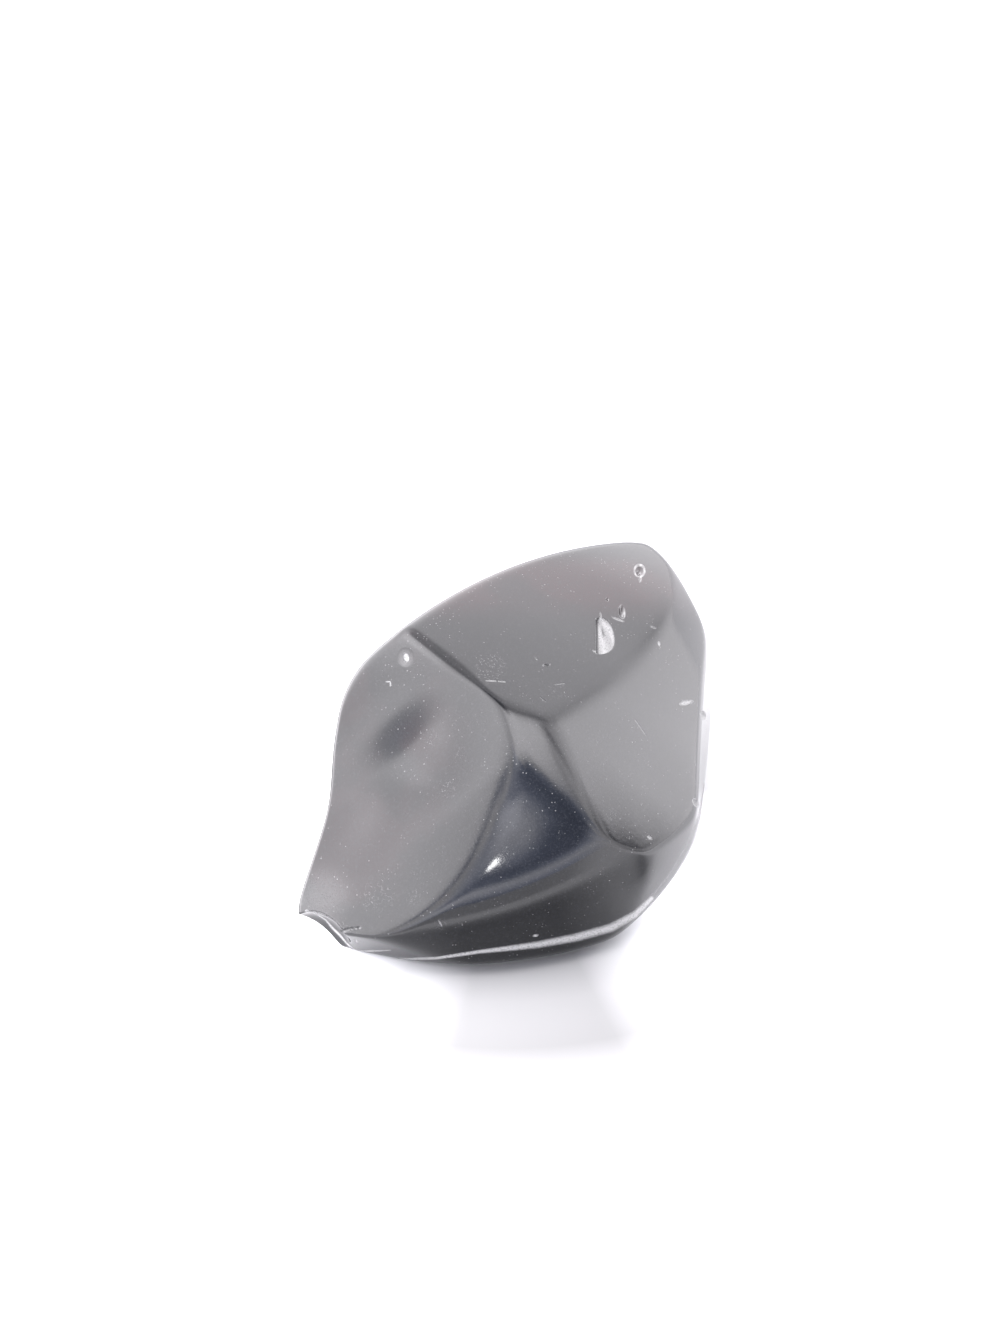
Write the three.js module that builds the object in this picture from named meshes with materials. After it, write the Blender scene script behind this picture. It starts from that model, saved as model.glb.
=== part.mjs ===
// A small chunk of black obsidian, tumbled smooth: one solid of volcanic glass with about twenty
// soft facets, a toe that juts out at the front left, and a fresh shell-shaped chip in that toe.
// Millimetres, +Z up. The front looks along -Y, and the stone rests on its flat base at Z = 0.
import * as THREE from "three";
import { mergeVertices } from "three/addons/utils/BufferGeometryUtils.js";

// The point inside the stone that every facet is measured from.
const HEART = new THREE.Vector3(0.3, -4.9, 10.5);

// How many parts each edge of the starting icosahedron is cut into, less one.
const DETAIL = 19;

// The facets, in the order in which they wear into each other.
//   azimuth    degrees from the front round to the right, and
//   elevation  degrees above level: the way the facet looks
//   distance   from the heart straight out to the facet
//   radius     of its curve: positive bulges, negative is hollow, Infinity is flat
//   blend      how far its edge with the facets before it is rounded
const FACETS = {
  base: { azimuth: 0, elevation: -90, distance: HEART.z, radius: Infinity, blend: 0.9 },
  upperBackLeft: { azimuth: -133, elevation: 32, distance: 15.0, radius: 80, blend: 2.6 },
  backRight: { azimuth: 111, elevation: 7, distance: 22.3, radius: Infinity, blend: 3.5 },
  lowerBackLeft: { azimuth: -144, elevation: -25, distance: 20.2, radius: 65, blend: 3.5 },
  back: { azimuth: -169, elevation: -19, distance: 22.7, radius: 200, blend: 3.5 },
  rightSide: { azimuth: 86, elevation: 5, distance: 16.5, radius: Infinity, blend: 2.6 },
  underRight: { azimuth: 77, elevation: -48, distance: 15.4, radius: 90, blend: 2.6 },
  underLeft: { azimuth: -126, elevation: -55, distance: 13.4, radius: 75, blend: 2.6 },
  leftSide: { azimuth: -102, elevation: 5, distance: 14.9, radius: -300, blend: 2.6 },
  leftShoulder: { azimuth: -119, elevation: 15, distance: 14.9, radius: 300, blend: 1.2 },
  lowerFront: { azimuth: 18, elevation: 9, distance: 15.5, radius: 35, blend: 2.2 },
  upperFront: { azimuth: -4, elevation: 46, distance: 12.1, radius: 45, blend: 2.2 },
  crown: { azimuth: 85, elevation: 73, distance: 10.8, radius: 95, blend: 1.2 },
  rightCheek: { azimuth: 63, elevation: 53, distance: 11.3, radius: 55, blend: 1.0 },
  rightCorner: { azimuth: 53, elevation: 8, distance: 16.5, radius: 30, blend: 1.0 },
  underFront: { azimuth: 18, elevation: -63, distance: 15.7, radius: 55, blend: 0.9 },
  underToe: { azimuth: -15, elevation: -32, distance: 18.9, radius: 300, blend: 0.9 },
  brow: { azimuth: 22, elevation: 57, distance: 11.75, radius: 50, blend: 0.5 },
  leftFace: { azimuth: -27, elevation: 46, distance: 11.35, radius: 80, blend: 0.5 },
  toeChip: { azimuth: -49.5, elevation: -21.5, distance: 20.8, radius: -3.8, blend: 0.2 },
};

// Shallow dishes worn into the left face: where each lies, how deep it is at its middle in
// millimetres, and the angle, seen from the heart, at which it has mostly faded out.
const DISHES = {
  leftWaist: { azimuth: -67, elevation: 0, depth: 1.0, spread: 17 },
  leftDimple: { azimuth: -66, elevation: 33, depth: 0.3, spread: 12 },
};

// Heights under this are rounding errors on the base, which is one true plane.
const FLAT_WITHIN = 0.001;

// Obsidian is nearly black and, polished by tumbling, as smooth as glass.
const GLASS_BLACK = 0x0c0c0e;
const GLASS_ROUGHNESS = 0.06;

// The unit vector of an azimuth and an elevation.
function facing({ azimuth, elevation }) {
  const turn = THREE.MathUtils.degToRad(azimuth);
  const rise = THREE.MathUtils.degToRad(elevation);
  return new THREE.Vector3(
    Math.sin(turn) * Math.cos(rise),
    -Math.cos(turn) * Math.cos(rise),
    Math.sin(rise),
  );
}

// How far one facet lets the stone reach from its heart along a direction. A curved facet is
// part of a sphere, which holds the heart if it bulges and stands off outside it if it is hollow.
function reach(direction, { normal, distance, radius }) {
  const cosine = direction.dot(normal);
  if (radius === Infinity) {
    return cosine > 0 ? distance / cosine : Infinity;
  }
  const centre = distance - radius;
  const root = (centre * cosine) ** 2 - centre ** 2 + radius ** 2;
  if (root < 0 || (radius < 0 && cosine < 0)) {
    return Infinity;
  }
  return centre * cosine + Math.sign(radius) * Math.sqrt(root);
}

// The smaller of two reaches, rounded off where they are within a blend of each other.
function wornTogether(first, second, blend) {
  const overlap = Math.max(blend - Math.abs(first - second), 0) / blend;
  return Math.min(first, second) - (overlap ** 3 * blend) / 6;
}

const facets = Object.values(FACETS).map((facet) => ({ ...facet, normal: facing(facet) }));
const dishes = Object.values(DISHES).map((dish) => ({
  depth: dish.depth,
  middle: facing(dish),
  spread: THREE.MathUtils.degToRad(dish.spread),
}));

// How far the finished surface is from the heart along a direction.
function surfaceDistance(direction) {
  let distance = reach(direction, facets[0]);
  for (const facet of facets.slice(1)) {
    const next = reach(direction, facet);
    if (next < distance + facet.blend) {
      distance = wornTogether(distance, next, facet.blend);
    }
  }
  for (const { depth, middle, spread } of dishes) {
    distance -= depth * Math.exp(-((direction.angleTo(middle) / spread) ** 2));
  }
  return distance;
}

function chunkGeometry() {
  const ball = new THREE.IcosahedronGeometry(1, DETAIL);
  ball.deleteAttribute("normal");
  ball.deleteAttribute("uv");
  const geometry = mergeVertices(ball);
  const points = geometry.getAttribute("position");
  const point = new THREE.Vector3();
  for (let i = 0; i < points.count; i += 1) {
    point.fromBufferAttribute(points, i).normalize();
    point.multiplyScalar(surfaceDistance(point)).add(HEART);
    if (point.z < FLAT_WITHIN) {
      point.z = 0;
    }
    points.setXYZ(i, point.x, point.y, point.z);
  }
  geometry.computeVertexNormals();
  return geometry;
}

const obsidian = new THREE.MeshStandardMaterial({
  color: GLASS_BLACK,
  roughness: GLASS_ROUGHNESS,
  metalness: 0,
});
const chunk = new THREE.Mesh(chunkGeometry(), obsidian);
chunk.name = "obsidian_chunk";

const stone = new THREE.Group();
stone.add(chunk);

export default stone;
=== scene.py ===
import math

import bmesh
import bpy
import numpy as np
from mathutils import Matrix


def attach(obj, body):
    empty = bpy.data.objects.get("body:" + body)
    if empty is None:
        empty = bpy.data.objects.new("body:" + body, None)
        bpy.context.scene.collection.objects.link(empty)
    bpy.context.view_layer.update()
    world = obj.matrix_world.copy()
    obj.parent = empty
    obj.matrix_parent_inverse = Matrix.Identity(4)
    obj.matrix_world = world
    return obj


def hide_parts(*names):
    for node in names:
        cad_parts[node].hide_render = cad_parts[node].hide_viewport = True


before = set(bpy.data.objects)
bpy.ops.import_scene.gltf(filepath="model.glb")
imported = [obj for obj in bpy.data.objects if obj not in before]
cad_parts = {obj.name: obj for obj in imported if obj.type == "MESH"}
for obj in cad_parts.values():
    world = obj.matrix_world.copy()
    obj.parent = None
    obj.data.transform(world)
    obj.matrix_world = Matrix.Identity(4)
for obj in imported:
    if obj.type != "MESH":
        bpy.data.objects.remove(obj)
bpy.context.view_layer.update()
MM = 0.001

# ---------------------------------------------------------------------------------------------
# The chunk. One lump of volcanic glass, broken to about twenty faces and tumbled until the
# edges between them were round. It is a ball whose every point is moved out to the facet that
# it meets first, cut finer where edges and bruises are, then bitten and pitted.
# ---------------------------------------------------------------------------------------------
HEART = np.array([0.3, -4.9, 10.5])  # mm, the point that the facets are measured from

# Facet: azimuth from the front towards the right and elevation, in degrees, distance from the
# heart, radius of its bulge (negative is hollow, inf is flat) and width of its worn edge, in mm.
# A program fitted the values to the real stone's outline and edges, and they were then rounded.
FACETS = {
    "base": (0, -90, 10.5, math.inf, 0.9),
    "upper_back_left": (-133, 32, 15.0, 80, 2.6),
    "back_right": (111, 7, 22.3, math.inf, 3.5),
    "lower_back_left": (-144, -25, 20.2, 65, 3.5),
    "back": (-169, -19, 22.7, 200, 3.5),
    "right_side": (86, 5, 16.5, math.inf, 2.6),
    "under_right": (77, -48, 15.4, 90, 2.6),
    "under_left": (-126, -55, 13.4, 75, 2.6),
    "left_side": (-102, 5, 14.9, -300, 2.6),
    "left_shoulder": (-119, 15, 14.9, 300, 1.2),
    "lower_front": (18, 9, 15.5, 35, 2.2),
    "upper_front": (-4, 46, 12.1, 45, 2.2),
    "crown": (85, 73, 10.8, 95, 1.2),
    "right_cheek": (63, 53, 11.3, 55, 0.6),
    "right_corner": (53, 8, 16.5, 30, 1.0),
    "under_front": (18, -63, 15.7, 55, 0.9),
    "under_toe": (-15, -32, 18.9, 300, 0.9),
    "brow": (22, 57, 11.75, 50, 0.5),
    "left_face": (-27, 46, 11.35, 80, 0.5),
    "toe_chip": (-49.5, -21.5, 20.8, -3.8, 0.2),
}

# The waist in the left side: azimuth, elevation, depth at its middle in mm, and the angle at
# which it fades out.
WAIST = (-67, 0, 1.0, 17)


def facing(azimuth, elevation):
    turn, rise = math.radians(azimuth), math.radians(elevation)
    flat = math.cos(rise)
    return np.array([math.sin(turn) * flat, -math.cos(turn) * flat, math.sin(rise)])


def reach(directions, facet):
    """How far one facet lets the stone reach from its heart along each direction, in mm."""
    azimuth, elevation, distance, radius, _ = facet
    cosine = directions @ facing(azimuth, elevation)
    if math.isinf(radius):
        return np.where(cosine > 1e-6, distance / np.maximum(cosine, 1e-6), 1e3)
    centre = distance - radius
    root = (centre * cosine) ** 2 - centre**2 + radius**2
    met = root >= 0
    if radius < 0:
        met &= cosine > 0
    far = centre * cosine + math.copysign(1, radius) * np.sqrt(np.maximum(root, 0))
    return np.where(met, far, 1e3)


def smooth(value, low, high):
    share = np.clip((value - low) / (high - low), 0, 1)
    return share * share * (3 - 2 * share)


def edge_width(name, directions):
    """The worn width of a facet's edge, in mm. It isn't the same all the way round."""
    width = FACETS[name][4]
    if name in ("right_cheek", "right_corner"):
        width = width * (1 - 0.45 * smooth(directions @ facing(30, 12), 0.62, 0.88))
    if name == "left_face":
        width = width + 0.6 * smooth(directions @ facing(-95, 55), 0.86, 0.99)
    return width


def surface_distance(directions):
    """The worn facets' distance from the heart along each direction, in mm."""
    far = reach(directions, FACETS["base"])
    for name, facet in FACETS.items():
        if name == "base":
            continue
        own, width = reach(directions, facet), edge_width(name, directions)
        overlap = np.maximum(width - np.abs(far - own), 0) / width
        far = np.minimum(far, own) - overlap**3 * width / 6
    azimuth, elevation, depth, spread = WAIST
    angle = np.arccos(np.clip(directions @ facing(azimuth, elevation), -1, 1))
    return far - depth * np.exp(-((angle / math.radians(spread)) ** 2))


def places_of(directions):
    """The points of the worn facets along the given directions, in mm, before any mark."""
    return HEART + directions * surface_distance(directions)[:, None]


# Marks are placed as they are seen from the front and 40 degrees above the table: mm to the
# right of the middle of the stone, and mm up across the line of sight.
UPWARDS = np.array([0, math.sin(math.radians(40)), math.cos(math.radians(40))])
TOWARDS = facing(0, 40)


def seen(places):
    return np.stack([places[:, 0], places @ UPWARDS], axis=-1)


# Pit: right, up, turn anticlockwise from upright in degrees, half length, half width and depth
# in mm, and whiteness of its floor and of its rim.
PITS = {
    "ring_pit": (11.72, 22.10, 0, 0.58, 0.50, 0.12, 0.0, 0.62),
    "ring_pit_heart": (11.66, 21.95, -14, 0.34, 0.18, 0.12, 0.0, 0.0),
    "ring_pit_tail": (11.78, 21.40, -8, 0.34, 0.12, 0.08, 0.3, 0.3),
    "tear_pit": (10.10, 18.45, 8, 0.62, 0.30, 0.26, 0.0, 0.12),
    "tear_lip": (9.75, 17.80, 70, 0.62, 0.13, 0.05, 0.28, 0.1),
    "prick": (8.80, 19.55, 30, 0.17, 0.14, 0.14, 0.0, 0.1),
    "moon_hole": (8.52, 16.75, 8, 0.50, 0.12, 0.16, 0.0, 0.0),
    "moon_spur": (8.22, 18.15, 8, 0.30, 0.09, 0.07, 0.25, 0.15),
    "moon_foot": (7.75, 14.95, 70, 0.30, 0.10, 0.05, 0.4, 0.2),
    "lens_chip": (15.70, 10.50, 102, 0.62, 0.22, 0.07, 0.5, 0.3),
    "side_pit": (17.20, 9.40, 20, 0.40, 0.26, 0.16, 0.2, 0.4),
    "seam_mark": (12.85, 17.10, 70, 0.30, 0.10, 0.05, 0.12, 0.1),
    "seed": (13.35, 15.65, 10, 0.24, 0.12, 0.04, 0.5, 0.2),
    "star": (-8.75, 14.45, 15, 0.44, 0.26, 0.08, 0.6, 0.2),
    "star_dish": (-8.75, 14.45, 0, 0.85, 0.75, 0.05, 0.06, 0.0),
    "hook": (-10.10, 12.15, 0, 0.24, 0.07, 0.04, 0.45, 0.2),
    "hook_top": (-10.28, 12.35, 90, 0.22, 0.07, 0.04, 0.45, 0.2),
    "crown_pit": (3.45, 13.80, 100, 0.36, 0.15, 0.14, 0.0, 0.12),
    "crown_nick": (2.55, 14.35, 40, 0.18, 0.08, 0.05, 0.2, 0.1),
    "rim_pit": (16.45, 1.80, 30, 0.42, 0.24, 0.14, 0.25, 0.4),
    "cheek_seed": (12.40, -1.15, 60, 0.26, 0.14, 0.06, 0.35, 0.2),
    "belly_seed": (2.50, -9.65, 100, 0.26, 0.12, 0.04, 0.6, 0.3),
    "toe_seed": (-13.05, -10.20, 40, 0.18, 0.10, 0.04, 0.6, 0.3),
    "curl": (-5.75, -8.55, 30, 0.36, 0.10, 0.05, 0.3, 0.1),
}
# Scratch: whiteness, depth, then points of right, up and half width, in mm. The white of the lower
# rim, toe edge and toe line is a painted highlight; that of the side rim is partly wear and partly
# a painted highlight.
SCRATCHES = {
    "painted_highlight_lower_rim": (0.8, 0.0, [(-11.9, -11.63, 0.09), (-10.9, -11.85, 0.10), (-9.2, -11.79, 0.10),
        (-6.1, -11.63, 0.11), (-2.4, -11.06, 0.14), (0.3, -10.75, 0.20), (2.75, -10.45, 0.25),
        (6.0, -9.85, 0.30), (9.05, -9.04, 0.32), (11.2, -7.9, 0.30), (12.6, -6.5, 0.20)]),
    "side_rim_wear_and_painted_highlight": (0.22, 0.0, [(10.2, -8.6, 0.10), (11.7, -7.5, 0.26), (12.9, -6.3, 0.28),
        (14.3, -4.6, 0.26), (15.8, -2.0, 0.22), (16.8, 0.6, 0.16), (17.3, 3.4, 0.08)]),
    "painted_highlight_toe_edge": (0.7, 0.0, [(-17.5, -7.55, 0.04), (-16.55, -7.82, 0.05), (-15.7, -8.4, 0.06),
        (-15.1, -9.14, 0.10), (-14.5, -9.7, 0.10), (-13.96, -10.36, 0.06), (-13.2, -11.0, 0.05)]),
    "painted_highlight_toe_line": (0.6, 0.0, [(-13.3, -11.05, 0.04), (-12.4, -11.1, 0.11), (-11.4, -11.05, 0.08),
        (-10.1, -10.95, 0.03)]),
    "toe_crack": (0.0, 0.10, [(-14.3, -9.3, 0.10), (-13.6, -9.1, 0.08), (-12.8, -9.0, 0.05)]),
    "bruise_foot": (0.35, 0.03, [(-1.75, 12.45, 0.05), (-0.95, 12.42, 0.06)]),
    "bruise_foot_right": (0.3, 0.03, [(-0.7, 12.4, 0.05), (-0.15, 12.35, 0.06)]),
    "cheek_scratch": (0.14, 0.02, [(11.2, 9.0, 0.05), (11.6, 8.4, 0.05), (12.1, 7.7, 0.04)]),
    "crown_scratch": (0.14, 0.02, [(4.2, 12.1, 0.04), (5.0, 12.2, 0.05)]),
    "crown_scratch_low": (0.10, 0.02, [(2.9, 11.0, 0.04), (3.4, 10.6, 0.04)]),
}
# Scuffed patch: right, up and radius in mm, and how strong.
SCUFFS = [(-1.4, 13.5, 1.6, 1.0), (-11.2, -6.1, 1.9, 0.6), (-8.0, -6.2, 0.9, 0.6),
          (-5.1, 3.2, 1.1, 0.6), (-6.8, 7.6, 1.0, 0.35), (-5.75, -8.6, 0.7, 0.5),
          (12.3, -1.1, 0.7, 0.7), (4.4, 11.6, 1.0, 0.4), (-15.2, 4.6, 0.7, 0.5),
          (-4.2, 6.3, 0.8, 0.4), (9.0, 0.9, 0.9, 0.5), (-14.4, -9.0, 1.0, 0.9)]
MOON_RIGHT, MOON_UP = 8.05, 16.35  # the middle of the half moon chip's straight wall
MOON_HALF, MOON_BULGE, MOON_DEPTH = 1.62, 1.40, 0.30
# The thumb mark in the left face: its middle, the direction of its steep side in degrees
# anticlockwise from the right, its depth and its half width across that direction, in mm. Along
# that direction it deepens over the first stretch and ends over the second.
THUMB = np.array([-7.3, 6.1])
THUMB_TURN, THUMB_DEPTH, THUMB_WIDTH = 132, 0.78, 4.0
THUMB_DEEPENS, THUMB_ENDS = (-6.0, 1.8), (0.9, 4.8)
THUMB_DULL, THUMB_DULL_FADES = 2.6, (2.4, 5.2)  # where it is dullest, and where that fades
# Dust on the toe: right and up of its middle, whiteness, and the distances over which it fades.
TOE_DUST, TOE_DUST_WHITE, TOE_DUST_FADES = (-15.8, -6.0), 0.06, (0.6, 3.2)


def line_closeness(flat, points):
    """1 on a line, fading to 0 over its own half width."""
    best = np.zeros(len(flat))
    for (x0, y0, w0), (x1, y1, w1) in zip(points, points[1:]):
        start, run = np.array([x0, y0]), np.array([x1 - x0, y1 - y0])
        share = np.clip((flat - start) @ run / (run @ run), 0, 1)
        gap = np.linalg.norm(flat - start - share[:, None] * run, axis=1)
        width = w0 + share * (w1 - w0)
        best = np.maximum(best, 1 - smooth(gap, 0.3 * width, 1.6 * width))
    return best


def marks(places, normals):
    """For each point: depth to sink it, in mm, whiteness (broken glass, dust and painted
    highlights), dullness and how scuffed it is.
    """
    flat = seen(places)
    towards = normals @ TOWARDS > 0.1
    depth, frost_and_painted_highlight = np.zeros(len(flat)), np.zeros(len(flat))

    # the thumb mark: steep at its upper left, from where it fades out gently
    off = flat - THUMB
    angle = math.radians(THUMB_TURN)
    along = off @ np.array([math.cos(angle), math.sin(angle)])
    across = off @ np.array([-math.sin(angle), math.cos(angle)])
    hollow = smooth(along, *THUMB_DEEPENS) * (1 - smooth(along, *THUMB_ENDS))
    hollow *= np.exp(-((across / THUMB_WIDTH) ** 2))
    depth += np.where(towards, THUMB_DEPTH * hollow, 0)
    gap = np.hypot(along - THUMB_DULL, 0.75 * across)
    dull = np.where(towards, 1 - smooth(gap, *THUMB_DULL_FADES), 0)

    # the half moon chip: a steep wall at its left, from which its floor rises to the right
    right, up = flat[:, 0] - MOON_RIGHT, flat[:, 1] - MOON_UP
    tall = 1 - (np.abs(up) / MOON_HALF) ** 2.4
    edge = MOON_BULGE * np.sqrt(np.clip(tall, 0, 1)) * (1 - 0.16 * up / MOON_HALF)
    share = right / np.maximum(edge, 1e-3)
    inside = (tall > 0) & (right > -0.36) & (share < 1) & towards
    floor = MOON_DEPTH * np.clip(1 - share, 0, 1) ** 0.8 * smooth(right, -0.36, 0.0)
    floor += 0.014 * np.sin(share * 17 + up * 1.5) * (share > 0.1)
    depth += np.where(inside, floor * smooth(tall, 0, 0.25), 0)
    white = smooth(right, 0.0, 0.10) * (1 - smooth(share, 0.88, 1.0)) * smooth(tall, 0, 0.06)
    # the frost has ripple lines and is whiter right along the wall, which is a painted highlight
    white *= 0.42 + 0.10 * np.sin(share * 9 + up * 2.2) + 0.20 * np.exp(-right / 0.15)
    frost_and_painted_highlight = np.maximum(frost_and_painted_highlight, np.where(inside, white, 0))

    for right, up, turn, long, wide, deep, floor_white, rim_white in PITS.values():
        angle = math.radians(turn)
        off = flat - np.array([right, up])
        along = off @ np.array([-math.sin(angle), math.cos(angle)]) / long
        across = off @ np.array([math.cos(angle), math.sin(angle)]) / wide
        out = np.hypot(along, across)
        depth += np.where(towards, deep * np.clip(1 - out**2, 0, 1) ** 1.2, 0)
        white = floor_white * (1 - smooth(out, 0.6, 1.0))
        ring = rim_white * smooth(out, 0.66, 0.82) * (1 - smooth(out, 1.0, 1.14))
        ring *= 0.75 + 0.25 * np.sin(5 * np.arctan2(across, along) + turn)
        frost_and_painted_highlight = np.maximum(frost_and_painted_highlight, np.where(towards, np.maximum(white, ring), 0))

    # dust gathers on the toe
    gap = np.hypot(flat[:, 0] - TOE_DUST[0], flat[:, 1] - TOE_DUST[1])
    dust = TOE_DUST_WHITE * (1 - smooth(gap, *TOE_DUST_FADES))
    frost_and_painted_highlight = np.maximum(frost_and_painted_highlight, np.where(towards, dust, 0))

    # scratches: along the lower rim, the side rim and the toe edge their white is a painted
    # highlight
    facing_us = smooth(normals @ TOWARDS, -0.10, 0.02)
    for white, deep, points in SCRATCHES.values():
        close = line_closeness(flat, points) * facing_us
        depth += deep * close
        frost_and_painted_highlight = np.maximum(frost_and_painted_highlight, white * close)

    # scuffs: round patches of hair-fine curved scratches
    scuff = np.zeros(len(flat))
    for right, up, wide, strength in SCUFFS:
        gap = np.hypot(flat[:, 0] - right, flat[:, 1] - up) / wide
        scuff = np.maximum(scuff, np.where(towards, strength * (1 - smooth(gap, 0.5, 1.0)), 0))
    return depth, frost_and_painted_highlight, dull, scuff


def directions_of(bm):
    return np.array([v.co for v in bm.verts])


def normals_at(directions):
    """Outward normals of the worn facets, before any mark, from how their distance changes."""
    step = 0.002
    side = np.cross(directions, np.array([0.31, 0.52, 0.79]))
    side /= np.linalg.norm(side, axis=1)[:, None]
    slopes = []
    for way in (side, np.cross(directions, side)):
        ahead, behind = directions + step * way, directions - step * way
        ahead /= np.linalg.norm(ahead, axis=1)[:, None]
        behind /= np.linalg.norm(behind, axis=1)[:, None]
        slopes.append(places_of(ahead) - places_of(behind))
    normals = np.cross(slopes[0], slopes[1])
    normals /= np.linalg.norm(normals, axis=1)[:, None]
    return normals * np.sign((normals * directions).sum(axis=1))[:, None]


def near_marks(directions, margin, pits_only=False):
    """True for points on a mark or within margin mm of one."""
    flat = seen(places_of(directions))
    near = np.zeros(len(flat), bool)
    for right, up, _, long, wide, *_ in PITS.values():
        near |= np.hypot(flat[:, 0] - right, flat[:, 1] - up) < max(long, wide) * 1.2 + margin
    if pits_only:
        return near & (normals_at(directions) @ TOWARDS > 0)
    near |= (np.abs(flat[:, 0] - MOON_RIGHT - 0.6) < 1.1 + margin) & (
        np.abs(flat[:, 1] - MOON_UP) < MOON_HALF + margin)
    for _, _, points in SCRATCHES.values():
        near |= line_closeness(flat, [(x, y, w * 0.9 + margin) for x, y, w in points]) > 0.3
    return near & (normals_at(directions) @ TOWARDS > -0.3)


def turning(bm):
    """Degrees by which the surface turns along each edge, and how far the edge faces forward."""
    normals = normals_at(directions_of(bm))
    ends = np.array([[v.index for v in e.verts] for e in bm.edges])
    first, second = normals[ends[:, 0]], normals[ends[:, 1]]
    turn = np.degrees(np.arccos(np.clip((first * second).sum(axis=1), -1, 1)))
    return turn, np.maximum(first @ TOWARDS, second @ TOWARDS)


def cut_finer(bm, chosen):
    """Halves the chosen edges, and puts the new points on the ball."""
    edges = [e for e, wanted in zip(bm.edges, chosen) if wanted]
    bmesh.ops.subdivide_edges(bm, edges=edges, cuts=1, use_grid_fill=True)
    bmesh.ops.triangulate(bm, faces=[f for f in bm.faces if len(f.verts) > 3])
    for v in bm.verts:
        v.co.normalize()
    bm.verts.index_update()


def edges_near(bm, near):
    return np.array([near[e.verts[0].index] or near[e.verts[1].index] for e in bm.edges])


bm = bmesh.new()
bmesh.ops.create_icosphere(bm, subdivisions=6, radius=1)
turn, forward = turning(bm)
cut_finer(bm, (forward > -0.1) | (turn > 3.5))
# then where the surface turns by so many degrees along an edge, in front and behind, and near marks
for front_turn, back_turn, margin in ((2.2, 7, 0.4), (3.2, 15, 0.1)):
    turn, forward = turning(bm)
    sharp = turn > np.where(forward > 0, front_turn, back_turn)
    cut_finer(bm, sharp | edges_near(bm, near_marks(directions_of(bm), margin)))
cut_finer(bm, edges_near(bm, near_marks(directions_of(bm), -0.05, pits_only=True)))

directions = directions_of(bm)
normals = normals_at(directions)
places = places_of(directions)
depth, *skin = marks(places, normals)
places -= normals * depth[:, None]
places[:, 2] = np.where(places[:, 2] < 0.001, 0, places[:, 2])
for v, place in zip(bm.verts, places):
    v.co = place * MM
bmesh.ops.recalc_face_normals(bm, faces=bm.faces)

stone_mesh = bpy.data.meshes.new("obsidian")
bm.to_mesh(stone_mesh)
bm.free()
stone_mesh.shade_smooth()
for name, values in zip(("frost_and_painted_highlight", "dull", "scuff"), skin):
    stone_mesh.attributes.new(name, "FLOAT", "POINT").data.foreach_set("value", values)
obsidian = bpy.data.objects.new("obsidian", stone_mesh)
bpy.context.scene.collection.objects.link(obsidian)

# ---------------------------------------------------------------------------------------------
# The glass: nearly black, with a smoky brown cloud in places. Its polish is a mirror with a
# haze of wear, and where it is broken it is white and matt. Along its lower rims and its toe edge,
# white is painted in as highlights.
# ---------------------------------------------------------------------------------------------
CLEAR_GLASS = (0.0007, 0.0010, 0.0020, 1)
SMOKY_GLASS = (0.0100, 0.0032, 0.0046, 1)
HAZY_GLASS = (0.0085, 0.0090, 0.0105, 1)
BROKEN_GLASS_AND_PAINTED_HIGHLIGHT = (0.33, 0.328, 0.325, 1)
# Roughness: the polish, which varies between two values, the dull thumb mark and broken glass,
# whose roughness the painted highlights share.
POLISHED, DULLED, BROKEN = (0.05, 0.11), 0.26, 0.5
PEEL_HEIGHT = 3.5e-6  # metres

glass = bpy.data.materials.new("obsidian_glass")
glass.use_nodes = True
nodes, links = glass.node_tree.nodes, glass.node_tree.links
shader = nodes["Principled BSDF"]
shader.inputs["IOR"].default_value = 1.49
grain = nodes.new("ShaderNodeTexCoord").outputs["Object"]


def noise(scale, detail, roughness=0.55):
    node = nodes.new("ShaderNodeTexNoise")
    node.inputs["Scale"].default_value = scale
    node.inputs["Detail"].default_value = detail
    node.inputs["Roughness"].default_value = roughness
    links.new(grain, node.inputs["Vector"])
    return node.outputs["Fac"]


def ranged(value, low, high, to_low=0.0, to_high=1.0, kind="SMOOTHSTEP"):
    node = nodes.new("ShaderNodeMapRange")
    node.interpolation_type = kind
    links.new(value, node.inputs["Value"])
    node.inputs["From Min"].default_value = low
    node.inputs["From Max"].default_value = high
    node.inputs["To Min"].default_value = to_low
    node.inputs["To Max"].default_value = to_high
    return node.outputs["Result"]


def mixed(share, first, second):
    node = nodes.new("ShaderNodeMix")
    node.data_type = "RGBA"
    links.new(share, node.inputs["Factor"])
    for socket, value in ((node.inputs["A"], first), (node.inputs["B"], second)):
        if isinstance(value, tuple):
            socket.default_value = value
        else:
            links.new(value, socket)
    return node.outputs["Result"]


def worked(operation, first, second):
    node = nodes.new("ShaderNodeMath")
    node.operation = operation
    for socket, value in zip(node.inputs, (first, second)):
        if isinstance(value, (int, float)):
            socket.default_value = value
        else:
            links.new(value, socket)
    return node.outputs[0]


def specks(scale, radius, share_kept):
    """Small round grains scattered in cells: 1 in a grain, 0 between."""
    cells = nodes.new("ShaderNodeTexVoronoi")
    cells.inputs["Scale"].default_value = scale
    links.new(grain, cells.inputs["Vector"])
    pick = nodes.new("ShaderNodeSeparateColor")
    links.new(cells.outputs["Color"], pick.inputs["Color"])
    kept = worked("LESS_THAN", pick.outputs["Red"], share_kept)
    size = ranged(pick.outputs["Green"], 0, 1, radius * 0.45, radius, "LINEAR")
    gap = worked("SUBTRACT", size, cells.outputs["Distance"])
    return worked("MULTIPLY", ranged(gap, 0, radius * 0.35), kept)


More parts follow.
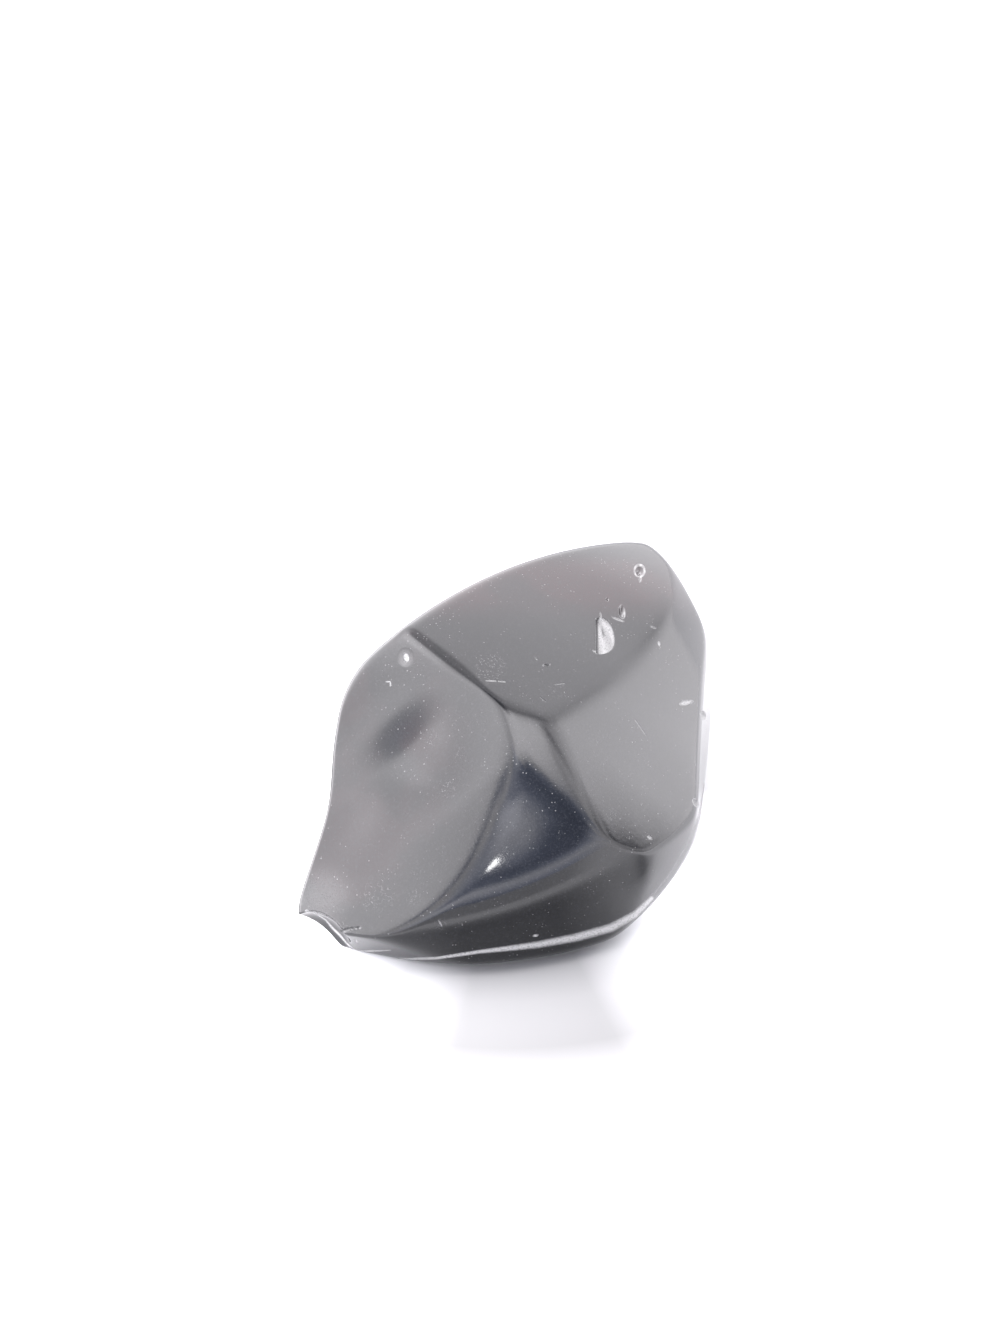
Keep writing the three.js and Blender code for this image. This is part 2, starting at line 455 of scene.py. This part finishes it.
# broken glass, the painted highlights along the rims and the toe edge, and the dust and grit that
# lie in its crushed places
whiteness = nodes.new("ShaderNodeAttribute")
whiteness.attribute_name = "frost_and_painted_highlight"
crushed = ranged(noise(9000, 3), 0.35, 0.5, 0.35, 1.0)
frosted_and_painted_highlight = worked("MULTIPLY", whiteness.outputs["Fac"], crushed)
scuffed = nodes.new("ShaderNodeAttribute")
scuffed.attribute_name = "scuff"
# a hair-fine scratch runs along every line where a noise passes through its middle value
off_middle = worked("ABSOLUTE", worked("SUBTRACT", noise(1900, 2), 0.5), 0)
hairs = worked("SUBTRACT", 1, ranged(off_middle, 0.004, 0.022))
patchy = ranged(noise(5000, 1), 0.4, 0.6, 0.02, 0.22)
scratched = worked("MULTIPLY", worked("MULTIPLY", hairs, scuffed.outputs["Fac"]), patchy)
frosted_and_painted_highlight = worked("MAXIMUM", frosted_and_painted_highlight, scratched)
dusty_places = ranged(noise(190, 3), 0.44, 0.60, 0.2, 1.0)
grit = worked("MULTIPLY", specks(1500, 0.09, 0.10), 0.36)
dust = worked("MULTIPLY", worked("MULTIPLY", specks(3600, 0.30, 0.30), dusty_places), 0.2)
white = worked("MAXIMUM", frosted_and_painted_highlight, worked("MAXIMUM", grit, dust))

# smoke: a brown cloud in the crown and in the left face. Raised is how high a point looks, in
# metres, from the front and 40 degrees above the table.
apart = nodes.new("ShaderNodeSeparateXYZ")
links.new(grain, apart.inputs[0])
raised = nodes.new("ShaderNodeVectorMath")
raised.operation = "DOT_PRODUCT"
links.new(grain, raised.inputs[0])
raised.inputs[1].default_value = UPWARDS
above = ranged(raised.outputs["Value"], 0.0170, 0.0200)
below = ranged(raised.outputs["Value"], 0.0240, 0.0222)
streaked = ranged(noise(95, 3), 0.36, 0.56, 0.35, 1.0)
crown_band = worked("MULTIPLY", worked("MULTIPLY", above, below), streaked)
left = ranged(apart.outputs["X"], -0.0020, -0.0080)
face_cloud = worked("MULTIPLY", ranged(noise(110, 3), 0.46, 0.62), worked("MULTIPLY", left, 0.45))
cloud = worked("MAXIMUM", crown_band, face_cloud)
clouded = mixed(cloud, CLEAR_GLASS, SMOKY_GLASS)
body = mixed(ranged(noise(5200, 3, 0.7), 0.48, 0.72), clouded, HAZY_GLASS)
links.new(mixed(white, body, BROKEN_GLASS_AND_PAINTED_HIGHLIGHT), shader.inputs["Base Color"])

polish = ranged(noise(700, 5), 0.3, 0.7, *POLISHED, "LINEAR")
dullness = nodes.new("ShaderNodeAttribute")
dullness.attribute_name = "dull"
worn = nodes.new("ShaderNodeMix")
links.new(dullness.outputs["Fac"], worn.inputs["Factor"])
links.new(polish, worn.inputs["A"])
worn.inputs["B"].default_value = DULLED
rough = nodes.new("ShaderNodeMix")
links.new(ranged(white, 0.0, 0.25), rough.inputs["Factor"])
links.new(worn.outputs["Result"], rough.inputs["A"])
rough.inputs["B"].default_value = BROKEN
links.new(rough.outputs["Result"], shader.inputs["Roughness"])

# the polish is faintly uneven, like orange peel
peel = nodes.new("ShaderNodeBump")
peel.inputs["Strength"].default_value = 1.0
peel.inputs["Distance"].default_value = PEEL_HEIGHT
links.new(noise(2600, 4, 0.65), peel.inputs["Height"])
links.new(peel.outputs["Normal"], shader.inputs["Normal"])
stone_mesh.materials.append(glass)

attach(obsidian, "root")
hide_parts("obsidian_chunk")

# ---------------------------------------------------------------------------------------------
# The table: a pale sheet, large enough to fill every view. Its paint isn't plain: it holds painted
# shade, greyer in front of the stone, and painted light, whiter beside it, for the polish of the
# lower facets to reflect. The painted shade shows on the sheet too, as a faint grey patch before
# the stone.
# ---------------------------------------------------------------------------------------------
TABLE_SIZE = 8.0
bm = bmesh.new()
bmesh.ops.create_grid(bm, x_segments=1, y_segments=1, size=TABLE_SIZE / 2)
table_mesh = bpy.data.meshes.new("table")
bm.to_mesh(table_mesh)
bm.free()
table = bpy.data.objects.new("table", table_mesh)
bpy.context.scene.collection.objects.link(table)

# Whiteness of the paint at one distance from the stone after another, in metres: by azimuth
# round the stone, in degrees from the front towards the right. It was measured in the real
# stone's reflections, with a program's help, and then adjusted.
# Painted light and shade: greyer paint stands in for shade in front of the stone, whiter paint for
# pools of light beside it.
TABLE_PAINTED_LIGHT_AND_SHADE = {
    0.024: [(-180, 0.5), (-60, 0.9), (-38, 0.9), (-24, 0.45), (-8, 0.24), (18, 0.22),
            (30, 0.4), (38, 0.7), (46, 0.95), (92, 0.85), (104, 0.5), (140, 0.5), (180, 0.5)],
    0.03: [(-180, 0.5), (-60, 0.9), (-38, 0.9), (-24, 0.4), (-8, 0.2), (18, 0.18), (26, 0.28),
           (36, 0.5), (42, 0.45), (47, 0.28), (51, 0.32), (57, 0.55), (64, 0.85), (92, 0.85),
           (104, 0.55), (140, 0.5), (180, 0.5)],
    0.034: [(-180, 0.5), (-60, 0.9), (-38, 0.9), (-24, 0.45), (-8, 0.27), (18, 0.25),
            (26, 0.33), (34, 0.45), (41, 0.5), (46, 0.28), (50, 0.32), (56, 0.7), (64, 0.9),
            (92, 0.85), (104, 0.6), (140, 0.5), (180, 0.5)],
    0.04: [(-180, 0.5), (-60, 0.9), (-38, 0.9), (-20, 0.7), (12, 0.62), (36, 0.66), (45, 0.55),
           (49, 0.45), (56, 0.85), (110, 0.75), (130, 0.65), (180, 0.5)],
    0.046: [(-180, 0.5), (-60, 0.9), (-38, 0.9), (-20, 0.7), (12, 0.62), (36, 0.68),
            (45, 0.65), (56, 0.85), (110, 0.9), (130, 0.8), (180, 0.5)],
    0.054: [(-180, 0.5), (-60, 0.9), (-38, 0.8), (-20, 0.4), (12, 0.38), (22, 0.42),
            (32, 0.68), (60, 0.8), (108, 0.98), (133, 0.85), (143, 0.52), (180, 0.5)],
}


def compass(tree, place):
    """Azimuth of a point or direction, 0 to 1 for a whole turn, 0.5 at the front."""
    split = tree.nodes.new("ShaderNodeSeparateXYZ")
    tree.links.new(place, split.inputs[0])
    front = tree.nodes.new("ShaderNodeMath")
    front.operation = "MULTIPLY"
    tree.links.new(split.outputs["Y"], front.inputs[0])
    front.inputs[1].default_value = -1
    turn = tree.nodes.new("ShaderNodeMath")
    turn.operation = "ARCTAN2"
    tree.links.new(split.outputs["X"], turn.inputs[0])
    tree.links.new(front.outputs[0], turn.inputs[1])
    share = tree.nodes.new("ShaderNodeMapRange")
    tree.links.new(turn.outputs[0], share.inputs["Value"])
    share.inputs["From Min"].default_value = -math.pi
    share.inputs["From Max"].default_value = math.pi
    return share.outputs["Result"], split.outputs["Z"]


def rings(tree, azimuth, measure, layers, colour):
    """One ramp round the compass at each measure, and a straight blend from each to the next."""
    result, last = None, None
    for level, stops in layers.items():
        ramp = tree.nodes.new("ShaderNodeValToRGB")
        tree.links.new(azimuth, ramp.inputs[0])
        elements = ramp.color_ramp.elements
        while len(elements) < len(stops):
            elements.new(0.5)
        for element, (degrees, value) in zip(elements, stops):
            element.position = degrees / 360 + 0.5
            element.color = (*colour(level, degrees, value), 1)
        if result is None:
            result, last = ramp.outputs["Color"], level
            continue
        share = tree.nodes.new("ShaderNodeMapRange")
        tree.links.new(measure, share.inputs["Value"])
        share.inputs["From Min"].default_value = last
        share.inputs["From Max"].default_value = level
        blend = tree.nodes.new("ShaderNodeMix")
        blend.data_type = "RGBA"
        tree.links.new(share.outputs["Result"], blend.inputs["Factor"])
        tree.links.new(result, blend.inputs["A"])
        tree.links.new(ramp.outputs["Color"], blend.inputs["B"])
        result, last = blend.outputs["Result"], level
    return result


paint = bpy.data.materials.new("table_painted_light_and_shade")
paint.use_nodes = True
tree = paint.node_tree
matt = tree.nodes["Principled BSDF"]
matt.inputs["Roughness"].default_value = 0.9
matt.inputs["Specular IOR Level"].default_value = 0.0
where = tree.nodes.new("ShaderNodeTexCoord")
table_turn, _ = compass(tree, where.outputs["Object"])
away = tree.nodes.new("ShaderNodeVectorMath")
away.operation = "LENGTH"
tree.links.new(where.outputs["Object"], away.inputs[0])


def paint_colour(distance, degrees, whiteness):
    return [whiteness] * 3


painted = rings(tree, table_turn, away.outputs["Value"], TABLE_PAINTED_LIGHT_AND_SHADE, paint_colour)
tree.links.new(painted, matt.inputs["Base Color"])
table_mesh.materials.append(paint)

# ---------------------------------------------------------------------------------------------
# The light tent: white cloth walls lit from outside, brightest at the left and right, with a
# dark opening in front that the camera looks in through and thin seams between the cloths. It
# isn't a plain soft light: it is made to put the real stone's bands and edge lines in the polish.
# ---------------------------------------------------------------------------------------------
BRIGHTEST = 20.0  # a ramp holds 0 to 1, so the cloth's brightness is set as a share of this
# Brightness of the cloth by azimuth, at one height above the table after another, in degrees. It
# was measured in the real stone's reflections, by a program, and then adjusted.
WALLS = {
    1: [(-180, 4.6), (-104, 13), (-60, 9), (-47, 6.8), (-44, 4.4), (-30, 4.2), (-14, 2),
        (-4, 1.4), (12, 2.1), (22, 2.4), (36, 3.9), (62, 3.6), (72, 2.8), (80, 2), (88, 2.7),
        (98, 4.2), (110, 6.6), (122, 6.4), (134, 4.7), (148, 2.8), (158, 3.4), (180, 4.6)],
    5: [(-180, 4.6), (-104, 14), (-60, 8.6), (-47, 6.8), (-44, 4.4), (-30, 4.4), (-14, 4),
        (-4, 3), (12, 3.2), (22, 3), (36, 4), (62, 3.7), (72, 2.8), (80, 2), (88, 2.8),
        (98, 4.3), (110, 6.9), (122, 6.6), (134, 4.8), (148, 2.8), (158, 3.4), (180, 4.6)],
    9.5: [(-180, 4.7), (-104, 17), (-80, 16), (-60, 8.6), (-47, 6.8), (-44, 4.4), (-38, 4.8),
          (-20, 4.8), (-5, 4.5), (5, 3.9), (20, 3.8), (45, 4.1), (62, 3.6), (72, 2.8), (80, 2),
          (88, 2.8), (98, 4.2), (110, 6.8), (122, 6.6), (134, 4.9), (148, 2.7), (158, 3.3),
          (180, 4.7)],
    14.5: [(-180, 4.9), (-104, 18), (-80, 17), (-66, 9.5), (-50, 6.6), (-45, 4.2), (-40, 4.5),
           (-30, 4.2), (-24, 2.6), (-12, 1.8), (0, 1.4), (12, 1.7), (20, 2.4), (26, 3.6),
           (35, 4), (68, 3.6), (80, 2.7), (91, 2.7), (97, 1.9), (101, 4.2), (108, 7.1),
           (121, 6.8), (134, 4.9), (149, 2.5), (160, 3.2), (180, 4.9)],
    19: [(-180, 5.1), (-104, 18), (-83, 16.5), (-77, 9), (-69, 9.8), (-63, 8), (-50, 7),
         (-46, 5.5), (-43.5, 2.4), (-41, 4.2), (-36, 4.2), (-28, 3.8), (-20, 2.4), (-10, 1.5),
         (0, 1.1), (18, 1), (24, 2.4), (30, 3.9), (68, 3.6), (79, 3), (90, 2.7), (93.5, 1.2),
         (95.6, 0.6), (97.2, 1.4), (98.6, 3.8), (101, 5.6), (108, 7.5), (121, 6.8), (134, 4.9),
         (149, 2.9), (162, 3.6), (180, 5.1)],
    25: [(-180, 5.4), (-104, 12), (-88, 12), (-79, 8), (-70, 7.4), (-63, 7.7), (-48.5, 7.2),
         (-46, 6.2), (-43, 1.8), (-40.5, 4), (-36, 3.5), (-28, 3.3), (-17, 2.6), (-8, 3.4),
         (0, 2.2), (6, 1.2), (20, 0.9), (25, 1.6), (31, 3.8), (66, 3.6), (88, 2.9), (91, 1.4),
         (92.8, 0.6), (94.2, 2.2), (95.4, 4.2), (98, 5.6), (108, 7.5), (121, 6.7), (134, 4.9),
         (149, 3.8), (162, 4), (180, 5.4)],
    33: [(-180, 5.2), (-100, 10), (-84, 8.8), (-76, 6.5), (-60, 7.9), (-54, 7.2), (-47, 6.3),
         (-44, 5.4), (-41, 1.2), (-38.5, 3.8), (-33, 3.5), (-25, 3.1), (-12, 4.6), (0, 3.8),
         (5, 1.5), (10, 0.9), (26, 0.9), (34, 2.6), (42, 3.4), (60, 3.7), (74, 3.3), (79, 2.4),
         (82.5, 1), (85, 2.8), (89, 4.4), (96, 7), (110, 7.4), (123, 5.8), (136, 4), (150, 4),
         (162, 4.1), (180, 5.2)],
    37: [(-180, 5.4), (-95, 9), (-76, 6.5), (-60, 7.8), (-51, 7), (-44.5, 5.3), (-42.5, 1.1),
         (-40, 4.3), (-36, 4.2), (-29, 3.3), (-20, 4.4), (-12, 5.4), (-5, 5.9), (0, 4),
         (6, 1.6), (12, 1), (30, 0.9), (38, 2), (46, 3.4), (60, 3), (70, 3.2), (75, 2.6),
         (78, 1.2), (80.5, 3), (90, 5), (98, 6.6), (108, 6.8), (121, 5), (133, 4), (148, 4.3),
         (162, 4.2), (180, 5.4)],
    41: [(-180, 5.4), (-95, 9), (-76, 6.6), (-60, 7.8), (-53, 7.2), (-48, 6.8), (-46.5, 5.6),
         (-44.2, 1.4), (-41.8, 5), (-37.5, 4.2), (-33, 3.4), (-29, 5), (-22, 6), (-14, 6),
         (-6, 5), (0, 2.8), (7, 1.5), (18, 0.8), (38, 0.9), (45, 2.8), (52, 3.3), (60, 2.2),
         (70, 3.6), (84, 5), (95, 6.4), (104, 6.1), (119, 4.2), (130, 3.8), (145, 4.2),
         (162, 4), (180, 5.4)],
    44.5: [(-180, 4.8), (-90, 9.4), (-80, 8.6), (-74, 6.8), (-56, 8.1), (-50, 6.4), (-47, 5),
           (-43.5, 2.2), (-40, 2.6), (-35.5, 4.8), (-29.5, 2.9), (-20, 2.5), (-8, 2.2),
           (0, 1.7), (10, 1.4), (30, 0.8), (45, 1.1), (50, 1.8), (58, 1.8), (66, 3.9), (76, 5),
           (88, 5.4), (100, 5.6), (114, 3.8), (128, 3.8), (145, 4.2), (162, 3.4), (180, 4.8)],
    51: [(-180, 3.6), (-90, 11), (-80, 11.2), (-74, 8.6), (-66, 7.9), (-55, 8.3), (-48, 7.4),
         (-43, 6), (-37, 3.6), (-32, 2.7), (-26, 3), (-19, 2), (-12, 1.5), (0, 1.3), (20, 1.1),
         (42, 1), (47, 1.7), (53, 3.2), (60, 3.6), (67, 4.8), (74, 4.6), (81, 3.4), (90, 5),
         (101, 4.3), (110, 3.5), (121, 3.6), (133, 4), (144, 3.8), (156, 2.6), (168, 2.6),
         (180, 3.6)],
    57: [(-180, 3.4), (-90, 10.4), (-70, 8.4), (-55, 7.6), (-44, 6.8), (-36, 5.6), (-29, 5.2),
         (-20, 5.8), (-15, 4.2), (-10, 2.4), (0, 1.7), (12, 1.3), (25, 1.3), (32, 1.9),
         (40, 2.4), (45, 5), (51, 5.9), (57, 5.6), (63, 4.3), (70, 4.9), (79, 2.4), (87, 4),
         (104, 2.8), (112, 2.4), (124, 3.2), (144, 3.6), (158, 2.2), (180, 3.4)],
    60: [(-180, 3.2), (-90, 9.5), (-75, 8), (-55, 7.3), (-40, 6.6), (-30, 5.5), (-20, 7.4),
         (-10, 6.5), (0, 4.8), (8, 3.6), (14, 2.6), (20, 1.7), (28, 2.3), (40, 4.2), (46, 6.7),
         (56, 7.2), (62, 6), (70, 5.2), (79, 2.4), (87, 3.8), (104, 2.6), (114, 2.5),
         (126, 3.3), (144, 3.2), (158, 2), (180, 3.2)],
    62: [(-180, 3.1), (-90, 9), (-75, 7.6), (-55, 7), (-40, 6.4), (-25, 5.8), (-18, 7.4),
         (-8, 7.5), (0, 6.6), (10, 5.3), (35, 5.4), (40, 6), (46, 7.8), (62, 7.8), (71, 5.8),
         (79, 3.4), (87, 4), (104, 2.6), (114, 2.6), (126, 3.3), (144, 3.2), (158, 2.2),
         (180, 3.1)],
    66: [(-180, 2.8), (-110, 4), (-92, 8), (-80, 6.8), (-62, 5.8), (-42, 5.8), (-30, 6.3),
         (-18, 8.4), (20, 8.4), (50, 8.8), (64, 8.6), (75, 7), (90, 4.8), (104, 2.8),
         (118, 2.9), (140, 3.2), (160, 2.6), (180, 2.8)],
    76: [(-180, 2.3), (-110, 2.6), (-70, 3.8), (-40, 5.5), (-10, 8), (20, 9), (56, 9),
         (78, 6.4), (100, 2.6), (140, 2.2), (180, 2.3)],
    84: [(-180, 1), (180, 1)],
}
OPENING_TINT = (0.85, 0.94, 1.25)  # the dark room beyond the opening is a little blue
CLOTH_TINT = (1.005, 0.985, 1.02)
LAMP = facing(-9.0, 25.4)
LAMP_EDGE = (0.3, 2.8)  # degrees from its middle: where it is full, and where its glow ends
LAMP_BRIGHTNESS = 40.0

tent = bpy.data.worlds.new("tent")
bpy.context.scene.world = tent
tent.use_nodes = True
tree = tent.node_tree
sky = tree.nodes["Background"]
view = tree.nodes.new("ShaderNodeTexCoord")
tent_turn, rise = compass(tree, view.outputs["Generated"])
heights = {math.sin(math.radians(height)): stops for height, stops in WALLS.items()}


def cloth_colour(level, degrees, value):
    """The cloth is a touch mauve, and the dark room beyond the opening in front is blue."""
    pale = min(max((value - 1.2) / 2.4, 0), 1) if abs(degrees) < 62 else 1
    if -35 < degrees < 35 and level < 0.85:
        pale *= 0.4 + 0.35 * pale
    return [value / BRIGHTEST * (dark + pale * (cloth - dark))
            for dark, cloth in zip(OPENING_TINT, CLOTH_TINT)]


cloth = rings(tree, tent_turn, rise, heights, cloth_colour)
near_lamp = tree.nodes.new("ShaderNodeVectorMath")
near_lamp.operation = "DOT_PRODUCT"
tree.links.new(view.outputs["Generated"], near_lamp.inputs[0])
near_lamp.inputs[1].default_value = LAMP
glow = tree.nodes.new("ShaderNodeMapRange")
glow.interpolation_type = "SMOOTHERSTEP"
tree.links.new(near_lamp.outputs["Value"], glow.inputs["Value"])
glow.inputs["From Min"].default_value = math.cos(math.radians(LAMP_EDGE[1]))
glow.inputs["From Max"].default_value = math.cos(math.radians(LAMP_EDGE[0]))
glow.inputs["To Max"].default_value = LAMP_BRIGHTNESS / BRIGHTEST
whole = tree.nodes.new("ShaderNodeMix")
whole.data_type = "RGBA"
whole.blend_type = "ADD"
whole.inputs["Factor"].default_value = 1
tree.links.new(cloth, whole.inputs["A"])
tree.links.new(glow.outputs["Result"], whole.inputs["B"])
tree.links.new(whole.outputs["Result"], sky.inputs["Color"])
sky.inputs["Strength"].default_value = BRIGHTEST

# ---------------------------------------------------------------------------------------------
# The camera looks down on the front of the stone through a long lens.
# ---------------------------------------------------------------------------------------------
CAMERA_RISE = 40
CAMERA_FAR = 1.2
AIM = np.array([-0.575, 3.42, 14.96]) * MM
PICTURE_HEIGHT = 116.6 * MM
SENSOR_SIZE = 36
camera_data = bpy.data.cameras.new("camera")
camera_data.sensor_fit = "AUTO"
camera_data.sensor_width = SENSOR_SIZE
camera_data.lens = SENSOR_SIZE * CAMERA_FAR / PICTURE_HEIGHT
camera = bpy.data.objects.new("camera", camera_data)
bpy.context.scene.collection.objects.link(camera)
camera.location = AIM + facing(0, CAMERA_RISE) * CAMERA_FAR
camera.rotation_euler = (math.radians(90 - CAMERA_RISE), 0, 0)
bpy.context.scene.camera = camera
bpy.context.scene.view_settings.view_transform = "Standard"
